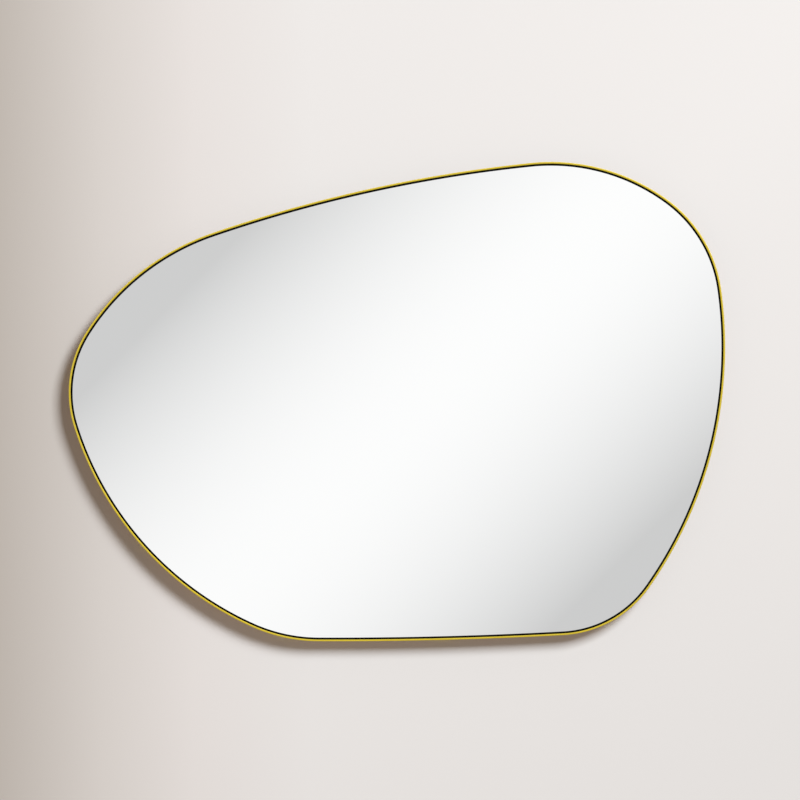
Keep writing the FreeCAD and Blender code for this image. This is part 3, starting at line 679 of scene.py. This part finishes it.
def make_screws(name, node, places):
    """Screws at (x, z, depth of the head's underside), heads to the wall, each turned differently."""
    one = screw_mesh()
    bm = bmesh.new()
    to_wall = Matrix.Rotation(math.radians(-90), 4, "X")
    for number, (x, z, depth) in enumerate(places):
        seat = Matrix.Translation(Vector((x, -depth, z)) * MM)
        spin = Matrix.Rotation(number * SCREW_TURN, 4, "Z")
        copy = one.copy()
        copy.transform(seat @ to_wall @ spin @ Matrix.Scale(MM, 4))
        bm.from_mesh(copy)
        bpy.data.meshes.remove(copy)
    mesh = bpy.data.meshes.new(name)
    bm.to_mesh(mesh)
    bm.free()
    piece = add_object(name, mesh, [ZINC])
    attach(piece, "root")
    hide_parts(node)


def make_all_screws():
    """Ten screws in the lugs and two in each strap."""
    lug_places = []
    for (x, z, radius), middle in arc_middles():
        reach = radius - FRAME_WALL - LUG_HOLE_REACH
        lug_places.append((x + reach * math.cos(middle), z + reach * math.sin(middle), LUG_REAR))
    make_screws("lug_pan_screws", "lug_screws", lug_places)
    for side, sign in (("left", -1), ("right", 1)):
        x = HANGER_MIDDLE + sign * HANGER_SPACING / 2
        places = [(x, HANGER_HEIGHT - drop, BOARD_REAR - STRAP_STACK) for drop in STRAP_SCREW_DROPS]
        make_screws(f"hanger_pan_screws_{side}", f"hanger_screws_{side}", places)


# ---------------------------------------------------------------- solids that stay as they are


def dress_nodes():
    """Finishes for the tape, the lugs and the hangers. The screws have pieces of their own."""
    finishes = {"tape_strip": FOAM, "lug": GOLD_WELD, "hanger_strap": NICKEL, "hanger_ring": NICKEL}
    for name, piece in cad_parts.items():
        if "screws" in name:
            continue
        for start, material in finishes.items():
            if name.startswith(start):
                piece.data.materials.clear()
                piece.data.materials.append(material)


# ---------------------------------------------------------------- wall, world, lamps, camera, metres

PICTURE_WIDTH = 1.0970
CAMERA_DISTANCE = 15.0
CAMERA_X = 0.0041
CAMERA_Z = 0.0025
CAMERA_SIGHT = 50.0
SENSOR = 36.0

WALL_SIZE = 7.0
WALL_GAP = 0.0003

# Painted shade on the wall: it darkens to the left between these X, and towards the lower right with X
# - Z.
DARK_SIDE_X = -0.62
LIGHT_SIDE_X = -0.12
CORNER_START = 0.1
CORNER_END = 1.0
CORNER_SHADE = 0.93

# What the glass and the metal reflect: a slanted band in front, a lift upwards and a round glow.
BAND_PLACE = 0.0275 / CAMERA_DISTANCE
BAND_WIDTH = 0.343 / CAMERA_DISTANCE
BAND_RISE = 0.37
BAND_LEAST_AHEAD = 0.05
STUDIO_LEVEL = 0.62
STUDIO_LIFT = 0.35
GLOW_RISE = 0.9
GLOW_REACH = math.radians(36)
GLOW_CORE = math.radians(10)
AMBIENT = rgb(0.29, 0.24, 0.197)
BACKDROP = rgb(0.93, 0.92, 0.905)

KEY_DIRECTION = Vector((0.655, -1.0, 0.64)).normalized()
KEY_DISTANCE = 14.0
KEY_SIZE = 5.3
KEY_POWER = 2125.0
KEY_COLOUR = (0.87, 0.94, 1.0)
FILL_PLACE = Vector((-1.6, 3.0, 1.6))
FILL_SIZE = 1.8
FILL_POWER = 110.0
FILL_COLOUR = (1.0, 1.0, 1.0)


def wall_material():
    """Warm white plaster paint with painted shade, darker to the left and the lower right, clear from
    behind.
    """
    nodes = MaterialTree("wall_paint_with_painted_shade")
    nodes.set(Roughness=0.9, Specular_IOR_Level=0.2)
    place = nodes.coordinates()
    x, _, z = nodes.split(place)
    # Painted shade: the wall's own warm white darkens to the left, a painted shadow on the plaster.
    paint = nodes.ramp(nodes.spread(x, 0.0, 1.0, DARK_SIDE_X, LIGHT_SIDE_X), [
        (0.1, rgb(0.535, 0.479, 0.428)),
        (0.43, rgb(0.735, 0.68, 0.637)),
        (0.68, rgb(0.84, 0.785, 0.752)),
        (1.0, rgb(0.88, 0.842, 0.815)),
    ])
    # Painted shade: the wall's colour is multiplied darker towards the lower right.
    corner = nodes.spread(nodes.math("SUBTRACT", x, z), 0.0, 1.0, CORNER_START, CORNER_END)
    shade = nodes.ramp(corner, [(0.0, grey(1.0)), (1.0, grey(CORNER_SHADE))])
    nodes.colour(nodes.mix(1.0, paint, shade, blend="MULTIPLY"))
    nodes.bump(nodes.noise(place, 260.0), strength=0.04, distance=0.0002)
    facing = nodes.add("ShaderNodeNewGeometry")
    clear = nodes.add("ShaderNodeBsdfTransparent")
    mix = nodes.add("ShaderNodeMixShader")
    nodes.link(facing.outputs["Backfacing"], mix.inputs["Fac"])
    nodes.link(nodes.shader.outputs["BSDF"], mix.inputs[1])
    nodes.link(clear.outputs["BSDF"], mix.inputs[2])
    nodes.link(mix.outputs["Shader"], nodes.tree.nodes["Material Output"].inputs["Surface"])
    return nodes.material


def make_wall():
    """A plain wall with painted shade to the left and the lower right, seen only from the front, that
    keeps the mirror's shadow.
    """
    half = WALL_SIZE / 2
    corners = ((-half, -half), (half, -half), (half, half), (-half, half))
    bm = bmesh.new()
    bm.faces.new([bm.verts.new((x, WALL_GAP, z)) for x, z in corners])
    mesh = bpy.data.meshes.new("wall")
    bm.to_mesh(mesh)
    bm.free()
    wall = add_object("wall", mesh, [wall_material()])
    wall.visible_diffuse = False
    wall.visible_glossy = False
    wall.visible_transmission = False
    wall.visible_shadow = False


def front_band(nodes, x, y, z):
    """A bright band that slants up to the right in front, strongest along its middle."""
    ahead = nodes.math("MAXIMUM", nodes.math("MULTIPLY", y, -1.0), BAND_LEAST_AHEAD)
    right = nodes.math("DIVIDE", x, ahead)
    up = nodes.math("DIVIDE", z, ahead)
    across = nodes.math("MULTIPLY", nodes.math("SUBTRACT", right, up), math.sqrt(0.5))
    offset = nodes.math("DIVIDE", nodes.math("SUBTRACT", across, BAND_PLACE), BAND_WIDTH)
    hump = nodes.math("SUBTRACT", 1.0, nodes.math("MULTIPLY", offset, offset))
    return nodes.math("MULTIPLY", nodes.math("MAXIMUM", hump, 0.0), BAND_RISE)


def key_glow(nodes, x, y, z):
    """A soft round glow where the key lamp is, and another in its place behind the wall."""
    folded = nodes.add("ShaderNodeCombineXYZ")
    nodes.link(x, folded.inputs["X"])
    nodes.link(nodes.math("MULTIPLY", nodes.math("ABSOLUTE", y), -1.0), folded.inputs["Y"])
    nodes.link(z, folded.inputs["Z"])
    toward = nodes.add("ShaderNodeVectorMath", operation="DOT_PRODUCT")
    nodes.link(folded.outputs["Vector"], toward.inputs[0])
    toward.inputs[1].default_value = KEY_DIRECTION
    reach, core = math.cos(GLOW_REACH), math.cos(GLOW_CORE)
    return nodes.spread(toward.outputs["Value"], 0.0, GLOW_RISE, reach, core, smooth=True)


def make_world():
    """Studio surroundings: one level for what is mirrored, one for the rest, and a pale backdrop."""
    world = bpy.data.worlds.new("studio")
    bpy.context.scene.world = world
    world.use_nodes = True
    nodes = NodeTree(world.node_tree)
    x, y, z = nodes.split(nodes.add("ShaderNodeTexCoord").outputs["Generated"])
    studio = nodes.math("ADD", front_band(nodes, x, y, z), STUDIO_LEVEL)
    studio = nodes.math("ADD", studio, nodes.math("MULTIPLY", z, STUDIO_LIFT))
    studio = nodes.math("ADD", studio, key_glow(nodes, x, y, z))
    path = nodes.add("ShaderNodeLightPath")
    mirrored = nodes.math("MAXIMUM", path.outputs["Is Glossy Ray"], path.outputs["Is Transmission Ray"])
    lit = nodes.mix(mirrored, AMBIENT, studio)
    seen = nodes.mix(path.outputs["Is Camera Ray"], lit, BACKDROP)
    nodes.link(seen, world.node_tree.nodes["Background"].inputs["Color"])


def add_lamp(name, place, power, size, colour):
    """A soft square lamp that points at the mirror and isn't seen in it."""
    data = bpy.data.lights.new(name, "AREA")
    data.shape = "SQUARE"
    data.size = size
    data.energy = power
    data.color = colour
    lamp = bpy.data.objects.new(name, data)
    bpy.context.scene.collection.objects.link(lamp)
    lamp.location = place
    lamp.rotation_euler = (-place).to_track_quat("-Z", "Y").to_euler()
    lamp.visible_glossy = False


def make_lamps():
    """A key lamp from the upper right, which throws the shadow, and a fill lamp behind the wall."""
    add_lamp("key", KEY_DIRECTION * KEY_DISTANCE, KEY_POWER, KEY_SIZE, KEY_COLOUR)
    add_lamp("back_fill", FILL_PLACE, FILL_POWER, FILL_SIZE, FILL_COLOUR)


def make_camera():
    """Straight on, from far enough away that the frame's sides don't show."""
    data = bpy.data.cameras.new("camera")
    camera = bpy.data.objects.new("camera", data)
    bpy.context.scene.collection.objects.link(camera)
    camera.location = (CAMERA_X, -CAMERA_DISTANCE, CAMERA_Z)
    camera.rotation_euler = (math.radians(90), 0, 0)
    data.sensor_width = SENSOR
    data.lens = SENSOR * (CAMERA_DISTANCE - FRAME_DEPTH * MM) / PICTURE_WIDTH
    data.clip_end = CAMERA_SIGHT
    bpy.context.scene.camera = camera


make_frame_strip()
make_mirror_glass()
make_backing_board()
make_weld_beads()
make_all_screws()
dress_nodes()

make_wall()
make_world()
make_lamps()
make_camera()
bpy.context.scene.view_settings.view_transform = "Standard"
